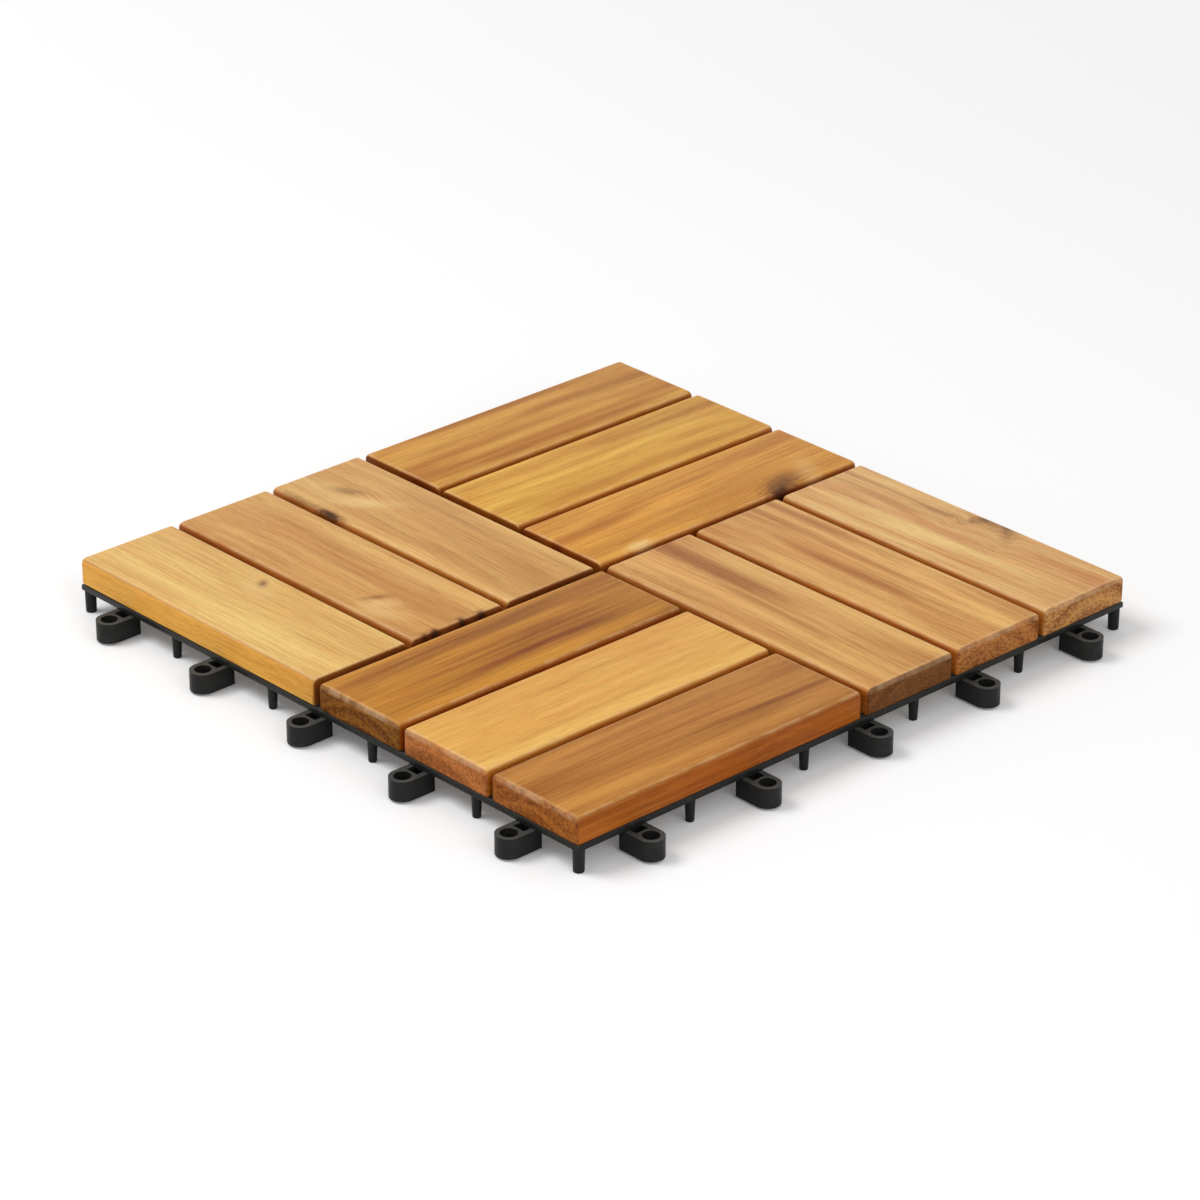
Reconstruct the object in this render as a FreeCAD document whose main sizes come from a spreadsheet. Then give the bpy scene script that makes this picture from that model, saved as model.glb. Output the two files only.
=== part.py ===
import FreeCAD, Part
import math
import os
import Sketcher

# Interlocking deck tile: twelve wood slats in four turned groups of three, screwed down
# onto one moulded plastic base with a diagonal lattice, round feet, pegs on two sides and
# eyelets on the other two.
# Frame: millimetres, +Z up, origin under the centre of the tile on the tips of the feet.
# Front is -Y and right is +X. The eyelets are on the front and right sides.

doc = FreeCAD.newDocument("deck_tile")
sheet = doc.addObject("Spreadsheet::Sheet", "sizes")

SIZES = (
    # slats
    ("slat_width", 48.0),
    ("slat_thickness", 12.0),
    ("slat_gap", 2.25),
    ("group_gap", 3.0),
    ("slat_top_round", 2.5),
    ("slat_low_ease", 1.0),
    # plate of the base
    ("foot_height", 9.75),
    ("plate_depth", 2.25),
    ("rim_width", 7.5),
    ("rib_width", 3.2),
    ("centre_rib_width", 3.0),
    ("web_width", 34.0),
    ("web_reach", 14.0),
    # round feet and screw bosses of the lattice
    ("foot_tip_radius", 1.9),
    ("foot_root_radius", 2.2),
    ("boss_tip_radius", 2.6),
    ("boss_root_radius", 2.8),
    ("boss_lift", 0.8),
    # screws
    ("head_radius", 1.95),
    ("head_height", 1.6),
    ("head_sink", 1.6),
    ("head_clearance", 0.15),
    ("shank_radius", 1.4),
    ("shank_clearance", 0.1),
    ("screw_bite", 8.0),
    ("point_length", 2.5),
    ("point_radius", 0.3),
    ("pilot_spare", 0.4),
    # posts and pegs round the rim
    ("post_spacing", 30.25),
    ("post_inset", 2.5),
    ("broad_root_radius", 2.4),
    ("broad_tip_radius", 2.25),
    ("thin_root_radius", 2.1),
    ("thin_tip_radius", 1.7),
    ("peg_radius", 2.0),
    ("peg_root_radius", 2.4),
    ("peg_flare", 0.5),
    ("peg_tip_radius", 1.7),
    ("peg_tip_ease", 0.3),
    # eyelets that take the pegs of the next tile
    ("tile_joint", 5.75),
    ("eyelet_clearance", 1.5),
    ("eyelet_wall", 2.0),
    ("eyelet_root", 3.25),
    ("eyelet_floor", 1.0),
    ("eyelet_drop", 0.25),
    ("neck_web", 1.25),
    ("neck_slot_width", 6.0),
)

for line, (alias, amount) in enumerate(SIZES, start=1):
    sheet.set(f"A{line}", alias)
    sheet.set(f"B{line}", str(amount))
    sheet.setAlias(f"B{line}", alias)
doc.recompute()

# slats side by side in one group
ROWS = 3
# lattice lines out from the centre, each way
LINES = 2 * ROWS - 1
# rim positions out from the middle of a side, each way
POSTS = 4
# flat sides of the many small posts, and of the screws and their holes
POST_SIDES = 8
HEAD_SIDES = 8
SHANK_SIDES = 6

# lengths that follow from the sizes
PITCH = "(sizes.slat_width + sizes.slat_gap)"
SLAT_LENGTH = f"({ROWS} * sizes.slat_width + {ROWS - 1} * sizes.slat_gap)"
HALF = f"({SLAT_LENGTH} + sizes.group_gap / 2)"
BASE_TOP = "(sizes.foot_height + sizes.plate_depth)"
RIM_INNER = f"({HALF} - sizes.rim_width)"
POST_LINE = f"({HALF} - sizes.post_inset)"
EYELET_LINE = f"({HALF} + sizes.tile_joint + sizes.post_inset)"
EYELET_BORE = "(sizes.peg_radius + sizes.eyelet_clearance)"
EYELET_OUTER = f"({EYELET_BORE} + sizes.eyelet_wall)"
EYELET_TAIL = "(sizes.tile_joint + sizes.post_inset + sizes.eyelet_root)"
EYELET_TOP = "(sizes.foot_height - sizes.eyelet_drop)"
HEAD_FACE = "(sizes.boss_lift + sizes.head_sink)"
HEAD_SEAT = f"({HEAD_FACE} + sizes.head_height)"
SCREW_LENGTH = f"({BASE_TOP} + sizes.screw_bite - {HEAD_FACE})"
HOLE_RADIUS = "(sizes.shank_radius + sizes.shank_clearance)"


def node(count):
    """Place of a lattice node: whole half-pitches out from the centre."""
    return f"({count} * {PITCH} / 2)"


def number(rule):
    """The value of a rule with the sheet as it stands."""
    return float(sheet.evalExpression(rule))


def bind(thing, **rules):
    """Tie properties to the sheet; x, y and z are the place of the object."""
    for name, rule in rules.items():
        prop = f".Placement.Base.{name}" if name in ("x", "y", "z") else name
        thing.setExpression(prop, str(rule))
    return thing


def flat(name, length, width, x, y):
    """A flat rectangle centred on x and y, at the underside of the plate."""
    thing = doc.addObject("Part::Plane", name)
    return bind(thing, Length=length, Width=width,
                x=f"{x} - {length} / 2", y=f"{y} - {width} / 2", z="sizes.foot_height")


def box(name, length, width, height, x, y, z):
    """A box centred on x and y, standing on z."""
    thing = doc.addObject("Part::Box", name)
    return bind(thing, Length=length, Width=width, Height=height,
                x=f"{x} - {length} / 2", y=f"{y} - {width} / 2", z=z)


def gather(kind, name, shapes):
    thing = doc.addObject(kind, name)
    thing.Shapes = shapes
    return thing


def origin_part(body, role):
    return [item for item in body.Origin.OriginFeatures if item.Role == role][0]


def sketch_on(body, role, name):
    sketch = body.newObject("Sketcher::SketchObject", name)
    sketch.AttachmentSupport = [(origin_part(body, role), "")]
    sketch.MapMode = "FlatFace"
    return sketch


def hold(sketch, kind, *parts, rule=None):
    """Add a constraint; one with a rule is a size and follows the sheet."""
    if rule is None:
        sketch.addConstraint(Sketcher.Constraint(kind, *parts))
        return
    place = sketch.addConstraint(Sketcher.Constraint(kind, *parts, number(rule)))
    sketch.setExpression(f"Constraints[{place}]", rule)


def polygon(sketch, points):
    """A closed outline whose corners all have ruled places."""
    start = sketch.GeometryCount
    count = len(points)
    spots = [FreeCAD.Vector(number(x), number(y), 0) for x, y in points]
    for step in range(count):
        sketch.addGeometry(Part.LineSegment(spots[step], spots[(step + 1) % count]), False)
    for step in range(count):
        hold(sketch, "Coincident", start + step, 2, start + (step + 1) % count, 1)
    for step, (x, y) in enumerate(points):
        hold(sketch, "DistanceX", -1, 1, start + step, 1, rule=x)
        hold(sketch, "DistanceY", -1, 1, start + step, 1, rule=y)


def circle(sketch, radius):
    line = sketch.addGeometry(Part.Circle(FreeCAD.Vector(0, 0, 0), FreeCAD.Vector(0, 0, 1), number(radius)), False)
    hold(sketch, "Radius", line, rule=radius)
    hold(sketch, "Coincident", line, 3, -1, 1)


def regular(sketch, radius, sides, x="0", y="0"):
    """A regular outline about x, y with its corners at the radius."""
    polygon(sketch, [(f"{x} + {radius} * cos({360 * step / sides} deg)",
                      f"{y} + {radius} * sin({360 * step / sides} deg)") for step in range(sides)])


def pad(body, sketch, name, length):
    thing = body.newObject("PartDesign::Pad", name)
    thing.Profile = sketch
    thing.setExpression("Length", length)
    return thing


def revolve(body, sketch, name):
    thing = body.newObject("PartDesign::Revolution", name)
    thing.Profile = sketch
    thing.ReferenceAxis = (sketch, ["V_Axis"])
    thing.Angle = 360
    return thing


def pattern(body, name, features, *steps):
    """Repeat features: each step is an axis, a count and the length from first to last."""
    body.AllowCompound = True
    whole = body.newObject("PartDesign::MultiTransform", name)
    whole.Originals = list(features)
    parts = []
    for axis, count, length in steps:
        kind = "PartDesign::PolarPattern" if axis == "Z_Axis" else "PartDesign::LinearPattern"
        part = body.newObject(kind, f"{name}_{axis[0].lower()}")
        if axis == "Z_Axis":
            part.Axis = (origin_part(body, axis), [""])
            part.Angle = length
        else:
            part.Direction = (origin_part(body, axis), [""])
            part.setExpression("Length", length)
        part.Occurrences = count
        parts.append(part)
    whole.Transformations = parts
    body.Tip = whole


def tapered_posts(name, low, high, foot, height, x, y, *steps):
    """Small many-sided posts, wider at the root, standing on the height of their feet."""
    body = doc.addObject("PartDesign::Body", name)
    outline = sketch_on(body, "XY_Plane", f"{name}_outline")
    regular(outline, low, POST_SIDES)
    post = pad(body, outline, f"{name}_post", height)
    post.setExpression("TaperAngle", f"atan(({high} - {low}) / ({height}))")
    pattern(body, f"{name}_pattern", (post,), *steps)
    return bind(body, x=x, y=y, z=foot)


def mirrored(name, source):
    """The same row on the other side of the corner between the two like sides."""
    thing = doc.addObject("Part::Mirroring", name)
    thing.Source = source
    thing.Base = FreeCAD.Vector(0, 0, 0)
    thing.Normal = FreeCAD.Vector(1, 1, 0)
    return thing


# Slats
# A slat lies along its own X from the centre gap outward, its underside at its own z = 0.
# Its cross section is a board with well rounded upper edges and eased lower ones.


def slat_section(sketch):
    half = number("sizes.slat_width / 2")
    top = number("sizes.slat_thickness")
    upper = number("sizes.slat_top_round")
    lower = number("sizes.slat_low_ease")
    corners = ((lower - half, 0), (half - lower, 0), (half, lower), (half, top - upper),
               (half - upper, top), (upper - half, top), (-half, top - upper), (-half, lower))
    spots = [FreeCAD.Vector(x, y, 0) for x, y in corners]
    # bottom, right ease, right side, top, left side, left ease
    for begin, end in ((0, 1), (1, 2), (2, 3), (4, 5), (6, 7), (7, 0)):
        sketch.addGeometry(Part.LineSegment(spots[begin], spots[end]), False)
    for side, begin in ((1, 0), (-1, 0.5 * math.pi)):
        middle = FreeCAD.Vector(side * (half - upper), top - upper, 0)
        ring = Part.Circle(middle, FreeCAD.Vector(0, 0, 1), upper)
        sketch.addGeometry(Part.ArcOfCircle(ring, begin, begin + 0.5 * math.pi), False)
    for first, second in ((0, 1), (1, 2), (4, 5), (5, 0)):
        hold(sketch, "Coincident", first, 2, second, 1)
    for first, second in ((2, 6), (6, 3), (3, 7), (7, 4)):
        hold(sketch, "Tangent", first, 2, second, 1)
    hold(sketch, "Horizontal", 0)
    hold(sketch, "Vertical", 2)
    hold(sketch, "Horizontal", 3)
    hold(sketch, "Vertical", 4)
    hold(sketch, "Equal", 6, 7)
    hold(sketch, "Radius", 6, rule="sizes.slat_top_round")
    hold(sketch, "PointOnObject", 0, 1, -1)
    hold(sketch, "DistanceX", 0, 2, 2, 1, rule="sizes.slat_low_ease")
    hold(sketch, "DistanceX", 5, 1, 0, 1, rule="sizes.slat_low_ease")
    hold(sketch, "DistanceY", 0, 2, 2, 1, rule="sizes.slat_low_ease")
    hold(sketch, "DistanceY", 0, 1, 5, 1, rule="sizes.slat_low_ease")
    hold(sketch, "DistanceY", -1, 1, 3, 1, rule="sizes.slat_thickness")
    hold(sketch, "DistanceX", -1, 1, 2, 1, rule="sizes.slat_width / 2")
    hold(sketch, "DistanceX", 4, 1, -1, 1, rule="sizes.slat_width / 2")


def slat(name, turn, row):
    body = doc.addObject("PartDesign::Body", name)
    section = sketch_on(body, "YZ_Plane", f"{name}_section")
    slat_section(section)
    pad(body, section, f"{name}_board", SLAT_LENGTH)
    # two pilot holes from below, over the screw bosses
    marks = sketch_on(body, "XY_Plane", f"{name}_pilot_marks")
    aside = f"{node(1)} - sizes.group_gap / 2 - sizes.slat_width / 2"
    for step in (1, LINES):
        regular(marks, HOLE_RADIUS, SHANK_SIDES, f"{node(step)} - sizes.group_gap / 2", aside)
    holes = body.newObject("PartDesign::Pocket", f"{name}_pilot_holes")
    holes.Profile = marks
    holes.Reversed = True
    holes.setExpression("Length", "sizes.screw_bite + sizes.pilot_spare")
    # the four groups turn about the centre, a quarter turn each
    body.Placement = FreeCAD.Placement(FreeCAD.Vector(0, 0, 0), FreeCAD.Vector(0, 0, 1), 90 * turn)
    along = "sizes.group_gap / 2"
    across = f"(sizes.group_gap / 2 + sizes.slat_width / 2 + {row} * {PITCH})"
    cos = (1, 0, -1, 0)[turn]
    sin = (0, 1, 0, -1)[turn]
    return bind(body, x=f"{cos} * {along} - {sin} * {across}", y=f"{sin} * {along} + {cos} * {across}", z=BASE_TOP)


GROUPS = ("back_right", "back_left", "front_left", "front_right")
slats = []
for turn, group in enumerate(GROUPS):
    for row, place in enumerate(("inner", "middle", "outer")):
        slats.append(slat(f"slat_{group}_{place}", turn, row))

# Plate of the base
# Diagonal ribs cross under every slat gap and every slat's middle line. They are drawn flat
# as a square grid, turned by 45 degrees, trimmed to the rim and given their depth.
run = f"(2 * sqrt(2) * {HALF})"
ribs = []
for line in range(-LINES, LINES + 1):
    offset = f"({line} * {PITCH} / sqrt(2))"
    ribs.append(flat(f"rib_a_{line + LINES}", run, "sizes.rib_width", "0", offset))
    ribs.append(flat(f"rib_b_{line + LINES}", "sizes.rib_width", run, offset, "0"))
grid = gather("Part::MultiFuse", "diagonal_grid", ribs)
grid.Placement = FreeCAD.Placement(FreeCAD.Vector(0, 0, 0), FreeCAD.Vector(0, 0, 1), 45)
inside = f"(2 * {HALF} - sizes.rim_width)"
field = flat("field", inside, inside, "0", "0")
trimmed = gather("Part::MultiCommon", "trimmed_grid", [grid, field])
lattice = doc.addObject("Part::Extrusion", "lattice")
lattice.Base = trimmed
lattice.DirMode = "Custom"
lattice.Dir = FreeCAD.Vector(0, 0, 1)
lattice.setExpression("LengthFwd", "sizes.plate_depth")
lattice.Solid = True

rim = doc.addObject("Part::Cut", "rim")
rim.Base = box("rim_outer", f"(2 * {HALF})", f"(2 * {HALF})", "sizes.plate_depth", "0", "0", "sizes.foot_height")
rim.Tool = box("rim_inner", f"(2 * {RIM_INNER})", f"(2 * {RIM_INNER})", "sizes.plate_depth",
               "0", "0", "sizes.foot_height")

# straight ribs under the two wide gaps between the groups
cross_x = box("centre_rib_x", inside, "sizes.centre_rib_width", "sizes.plate_depth", "0", "0", "sizes.foot_height")
cross_y = box("centre_rib_y", "sizes.centre_rib_width", inside, "sizes.plate_depth", "0", "0", "sizes.foot_height")

# web with sloped sides, inside the front rim at its middle
web = doc.addObject("PartDesign::Body", "front_web")
web_outline = sketch_on(web, "XY_Plane", "front_web_outline")
polygon(web_outline, (("-sizes.web_width / 2", f"-{RIM_INNER} - sizes.rim_width / 2"),
                      ("sizes.web_width / 2", f"-{RIM_INNER} - sizes.rim_width / 2"),
                      ("sizes.web_width / 2", f"-{RIM_INNER}"),
                      ("sizes.web_width / 2 - sizes.web_reach", f"-{RIM_INNER} + sizes.web_reach"),
                      ("sizes.web_reach - sizes.web_width / 2", f"-{RIM_INNER} + sizes.web_reach"),
                      ("-sizes.web_width / 2", f"-{RIM_INNER}")))
pad(web, web_outline, "front_web_plate", "sizes.plate_depth")
bind(web, z="sizes.foot_height")

# Feet and screw bosses at the nodes of the lattice
# Plain feet stand where the slat gaps cross, and a little shorter bosses under the middle
# lines of the slats. The outer two bosses of each slat are drilled for its screws.
feet = tapered_posts("feet", "sizes.foot_tip_radius", "sizes.foot_root_radius", "0", "sizes.foot_height",
                     node(1 - LINES), node(1 - LINES),
                     ("X_Axis", LINES, node(2 * LINES - 2)), ("Y_Axis", LINES, node(2 * LINES - 2)))
bosses = tapered_posts("bosses", "sizes.boss_tip_radius", "sizes.boss_root_radius", "sizes.boss_lift",
                       f"({BASE_TOP} - sizes.boss_lift)", node(-LINES), node(-LINES),
                       ("X_Axis", LINES + 1, node(2 * LINES)), ("Y_Axis", LINES + 1, node(2 * LINES)))
SCREW_STEPS = (("X_Axis", 2, node(LINES - 1)), ("Y_Axis", ROWS, node(2 * ROWS - 2)), ("Z_Axis", 4, 360))


def drilling(name, sides, radius, height):
    """The same hole up through every drilled boss, from its tip to a height."""
    body = doc.addObject("PartDesign::Body", name)
    outline = sketch_on(body, "XY_Plane", f"{name}_outline")
    regular(outline, radius, sides, node(1), node(1))
    hole = pad(body, outline, f"{name}_hole", height)
    pattern(body, f"{name}_pattern", (hole,), *SCREW_STEPS)
    return bind(body, z="sizes.boss_lift")


shank_holes = drilling("shank_holes", SHANK_SIDES, HOLE_RADIUS, f"{BASE_TOP} - sizes.boss_lift")
head_holes = drilling("head_holes", HEAD_SIDES, "(sizes.head_radius + sizes.head_clearance)",
                      f"{HEAD_SEAT} - sizes.boss_lift")

# Posts under the rim
# Broad ones between the pegs, thin ones between the eyelets, and one at each corner.
between = ("X_Axis", POSTS, f"{2 * POSTS - 2} * sizes.post_spacing")
first_between = f"{1 - POSTS} * sizes.post_spacing"
broad_back = tapered_posts("broad_posts_back", "sizes.broad_tip_radius", "sizes.broad_root_radius", "0",
                           "sizes.foot_height", first_between, POST_LINE, between)
broad_left = mirrored("broad_posts_left", broad_back)
thin_front = tapered_posts("thin_posts_front", "sizes.thin_tip_radius", "sizes.thin_root_radius", "0",
                           "sizes.foot_height", first_between, f"-{POST_LINE}", between)
thin_right = mirrored("thin_posts_right", thin_front)
corners = tapered_posts("corner_posts", "sizes.broad_tip_radius", "sizes.broad_root_radius", "0",
                        "sizes.foot_height", f"-{POST_LINE}", f"-{POST_LINE}",
                        ("X_Axis", 2, f"2 * {POST_LINE}"), ("Y_Axis", 2, f"2 * {POST_LINE}"))

# Pegs
# Turned profile: eased tip, round shank that fits the eyelet, flare up to the rim.
pegs = doc.addObject("PartDesign::Body", "pegs_back")
peg_profile = sketch_on(pegs, "XZ_Plane", "peg_profile")
polygon(peg_profile, (("0", "0"), ("sizes.peg_tip_radius", "0"), ("sizes.peg_radius", "sizes.peg_tip_ease"),
                      ("sizes.peg_radius", "sizes.foot_height - sizes.peg_flare"),
                      ("sizes.peg_root_radius", "sizes.foot_height"), ("0", "sizes.foot_height")))
peg = revolve(pegs, peg_profile, "peg")
pattern(pegs, "peg_row", (peg,), ("X_Axis", POSTS + 1, f"{2 * POSTS} * sizes.post_spacing"))
bind(pegs, x=f"-{POSTS} * sizes.post_spacing", y=POST_LINE)
pegs_left = mirrored("pegs_left", pegs)

# Eyelets
# A ring on a slotted neck, drawn in plan about the middle of the ring and pointing to the
# front, and a root block that joins the neck to the rim above it.
eyelets = doc.addObject("PartDesign::Body", "eyelets_front")
ring_plan = sketch_on(eyelets, "XY_Plane", "eyelet_plan")
outer = number(EYELET_OUTER)
tail = number(EYELET_TAIL)
ring_plan.addGeometry(Part.LineSegment(FreeCAD.Vector(outer, 0, 0), FreeCAD.Vector(outer, tail, 0)), False)
ring_plan.addGeometry(Part.LineSegment(FreeCAD.Vector(outer, tail, 0), FreeCAD.Vector(-outer, tail, 0)), False)
ring_plan.addGeometry(Part.LineSegment(FreeCAD.Vector(-outer, tail, 0), FreeCAD.Vector(-outer, 0, 0)), False)
tip_ring = Part.Circle(FreeCAD.Vector(0, 0, 0), FreeCAD.Vector(0, 0, 1), outer)
ring_plan.addGeometry(Part.ArcOfCircle(tip_ring, math.pi, 2 * math.pi), False)
hold(ring_plan, "Coincident", 0, 2, 1, 1)
hold(ring_plan, "Coincident", 1, 2, 2, 1)
hold(ring_plan, "Tangent", 2, 2, 3, 1)
hold(ring_plan, "Tangent", 3, 2, 0, 1)
hold(ring_plan, "Vertical", 0)
hold(ring_plan, "Horizontal", 1)
hold(ring_plan, "Coincident", 3, 3, -1, 1)
hold(ring_plan, "Radius", 3, rule=EYELET_OUTER)
hold(ring_plan, "DistanceY", -1, 1, 0, 2, rule=EYELET_TAIL)
circle(ring_plan, EYELET_BORE)
slot_low = f"({EYELET_BORE} + sizes.neck_web)"
slot_high = f"({EYELET_TAIL} - sizes.eyelet_wall)"
polygon(ring_plan, (("-sizes.neck_slot_width / 2", slot_low), ("sizes.neck_slot_width / 2", slot_low),
               ("sizes.neck_slot_width / 2", slot_high), ("-sizes.neck_slot_width / 2", slot_high)))
eyelet = pad(eyelets, ring_plan, "eyelet", f"{EYELET_TOP} - sizes.eyelet_floor")
pattern(eyelets, "eyelet_row", (eyelet,), ("X_Axis", POSTS + 1, f"{2 * POSTS} * sizes.post_spacing"))
bind(eyelets, x=f"-{POSTS} * sizes.post_spacing", y=f"-{EYELET_LINE}", z="sizes.eyelet_floor")
eyelets_right = mirrored("eyelets_right", eyelets)
roots = []
for step in range(-POSTS, POSTS + 1, 2):
    along = f"{step} * sizes.post_spacing"
    beside = f"({HALF} - sizes.eyelet_root / 2)"
    roots.append(box(f"root_front_{step + POSTS}", f"(2 * {EYELET_OUTER})", "sizes.eyelet_root",
                     "sizes.eyelet_drop", along, f"-{beside}", EYELET_TOP))
    roots.append(box(f"root_right_{step + POSTS}", "sizes.eyelet_root", f"(2 * {EYELET_OUTER})",
                     "sizes.eyelet_drop", beside, along, EYELET_TOP))

doc.recompute()

# Base, one moulding: the plate with its bosses is drilled, then joined to what stands under it
bossed = gather("Part::MultiFuse", "bossed_plate", [lattice, rim, cross_x, cross_y, web, bosses])
bossed.Refine = True
drillings = gather("Part::MultiFuse", "drillings", [shank_holes, head_holes])
drilled = doc.addObject("Part::Cut", "drilled_plate")
drilled.Base = bossed
drilled.Tool = drillings
base = gather("Part::MultiFuse", "base_grid", [drilled, feet, broad_back, broad_left, thin_front, thin_right,
                                               corners, pegs, pegs_left, eyelets, eyelets_right] + roots)
base.Refine = True

# Screws
# One under each end of every slat: a flat head seated in its counterbore, a shank that
# fills its pilot hole in the wood but for the clearance, and a point.
screws = doc.addObject("PartDesign::Body", "slat_screws")


def screw_stage(name, sides, radius, foot, height):
    outline = sketch_on(screws, "XY_Plane", f"{name}_outline")
    outline.setExpression(".AttachmentOffset.Base.z", foot)
    regular(outline, radius, sides, node(1), node(1))
    return pad(screws, outline, name, height)


point_foot = f"({SCREW_LENGTH} - sizes.point_length)"
head = screw_stage("head", HEAD_SIDES, "sizes.head_radius", "0", "sizes.head_height")
shank = screw_stage("shank", SHANK_SIDES, "sizes.shank_radius", "sizes.head_height",
                    f"{point_foot} - sizes.head_height")
point = screw_stage("point", SHANK_SIDES, "sizes.shank_radius", point_foot, "sizes.point_length")
point.setExpression("TaperAngle", "-atan((sizes.shank_radius - sizes.point_radius) / sizes.point_length)")
pattern(screws, "screw_places", (head, shank, point), *SCREW_STEPS)
bind(screws, z=HEAD_FACE)

doc.recompute()

# Check and write
for item in doc.Objects:
    if any(word in item.State for word in ("Invalid", "Error")):
        raise RuntimeError(f"{item.Name} did not build: {item.State}")

kept = [base, screws] + slats
for item in kept:
    if item.Shape.isNull() or not item.Shape.isValid():
        raise RuntimeError(f"{item.Label} is not a valid solid")

os.makedirs("parts", exist_ok=True)
for item in kept:
    item.Shape.exportStep(f"parts/{item.Label}.step")
    print(item.Label, len(item.Shape.Solids), round(item.Shape.Volume, 1), item.Shape.BoundBox)
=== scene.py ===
import bmesh
import bpy
import math
from mathutils import Matrix, Vector


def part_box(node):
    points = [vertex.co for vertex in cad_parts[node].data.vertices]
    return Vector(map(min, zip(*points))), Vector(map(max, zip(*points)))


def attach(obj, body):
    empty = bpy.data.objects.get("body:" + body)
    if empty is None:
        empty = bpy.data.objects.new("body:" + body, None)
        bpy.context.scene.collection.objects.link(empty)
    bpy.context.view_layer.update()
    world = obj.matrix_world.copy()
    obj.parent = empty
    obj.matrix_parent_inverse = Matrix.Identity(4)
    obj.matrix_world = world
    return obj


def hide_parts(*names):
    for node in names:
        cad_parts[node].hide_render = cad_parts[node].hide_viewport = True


# Interlocking deck tile: twelve oiled wood slats on a black moulded base.
# Metres, +Z up. The two sides with eyelets are the front, -Y, and the right, +X.

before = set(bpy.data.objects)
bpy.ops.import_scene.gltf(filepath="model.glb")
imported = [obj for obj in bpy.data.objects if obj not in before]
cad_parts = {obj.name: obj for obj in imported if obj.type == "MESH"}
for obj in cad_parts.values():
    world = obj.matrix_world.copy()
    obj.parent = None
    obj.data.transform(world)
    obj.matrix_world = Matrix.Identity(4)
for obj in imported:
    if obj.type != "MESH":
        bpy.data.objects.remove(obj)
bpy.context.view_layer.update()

MM = 0.001
FINE = 0.00001
X_AXIS, Z_AXIS = 0, 2

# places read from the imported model
GROUPS = ("back_right", "back_left", "front_left", "front_right")
ROWS = ("inner", "middle", "outer")
row_boxes = [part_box(f"slat_{GROUPS[0]}_{row}") for row in ROWS]
SLAT_NEAR = row_boxes[0][0].x
SLAT_FAR = row_boxes[0][1].x
SLAT_LOW = row_boxes[0][0].z
SLAT_TOP = row_boxes[0][1].z
SLAT_WIDTH = row_boxes[0][1].y - row_boxes[0][0].y
SLAT_HALF_LENGTH = (SLAT_FAR - SLAT_NEAR) / 2
SLAT_MIDDLE = (SLAT_FAR + SLAT_NEAR) / 2
ROW_LINES = [(low.y + high.y) / 2 for low, high in row_boxes]
PITCH = ROW_LINES[1] - ROW_LINES[0]
HALF = SLAT_FAR

# half pitches from the middle to the last row of bosses
LINES = 5

# plate, rim, ribs and web, which the boxes don't give
PLATE_DEPTH = 2.25 * MM
PLATE_LOW = SLAT_LOW - PLATE_DEPTH
PLATE_EASE = 0.25 * MM
RIM_WIDTH = 7.5 * MM
RIB_WIDTH = 3.2 * MM
CENTRE_RIB_WIDTH = 3.0 * MM
WEB_WIDTH = 34.0 * MM
WEB_REACH = 14.0 * MM
WEB_BLUNT = 0.1 * MM

# posts along the rim, as many to each side of the middle one as there are steps
POST_SPACING = 30.25 * MM
POST_STEPS = 4
POST_LINE = HALF - 2.5 * MM

# feet and posts: radius at the tip, radius at the root and rounding of the tip
PLAIN_FOOT = (1.9 * MM, 2.2 * MM, 0.8 * MM)
BROAD_POST = (2.25 * MM, 2.4 * MM, 0.5 * MM)
THIN_POST = (1.7 * MM, 2.1 * MM, 0.4 * MM)
FILLET = 0.5 * MM
FOOT_FLARE = 1.04
PEG_RADIUS = 2.0 * MM
PEG_NECK = 9.25 * MM
PEG_EASE = 0.4 * MM
PEG_FLARE = 1.2

# how far posts and eyelets run into the plate
ROOT = 0.3 * MM

EYELET_LINE = HALF + 8.25 * MM
EYELET_BORE = 3.5 * MM
EYELET_OUTER = 5.48 * MM
EYELET_TAIL = 11.5 * MM
EYELET_FLOOR = 1.0 * MM
EYELET_TOP = 9.5 * MM
EYELET_ROOT = 3.25 * MM
EYELET_EASE = 0.45 * MM
SLOT_WIDTH = 6.0 * MM
SLOT_FROM = 4.75 * MM
SLOT_TO = 9.5 * MM

# screw bosses and screws
BOSS_LIFT = 0.8 * MM
BOSS_TIP = 2.6 * MM
BOSS_ROOT = 2.8 * MM
BOSS_WALL = 0.25 * MM
BOSS_GAP = 0.02 * MM
HEAD_FACE = 2.4 * MM
HEAD_SEAT = 4.0 * MM
HEAD_RADIUS = 1.95 * MM
HEAD_EASE = 0.3 * MM
RECESS_REACH = 1.15 * MM
RECESS_HALF_WIDTH = 0.28 * MM
RECESS_DEPTH = 0.7 * MM
SHANK_RADIUS = 1.4 * MM
SCREW_TIP = 20.0 * MM
POINT_LENGTH = 2.5 * MM
POINT_SHARE = 0.2

# roundings of a slat
TOP_ROUND = 2.5 * MM
LOW_EASE = 1.0 * MM
END_EASE = 1.4 * MM

# faces that meet at less than this are shaded as one
SMOOTH_ANGLE = math.radians(38)


# Modelling steps

def deselect():
    bpy.ops.object.select_all(action="DESELECT")


def take(piece):
    """Make a piece the only one selected, and the active one."""
    deselect()
    piece.select_set(True)
    bpy.context.view_layer.objects.active = piece


def begin(kind, name, **sizes):
    """A primitive at its size and place, open for shaping."""
    deselect()
    getattr(bpy.ops.mesh, f"primitive_{kind}_add")(**sizes)
    piece = bpy.context.object
    piece.name = name
    bpy.ops.object.transform_apply(location=True, rotation=True, scale=True)
    bpy.ops.object.mode_set(mode="EDIT")
    return piece


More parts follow.
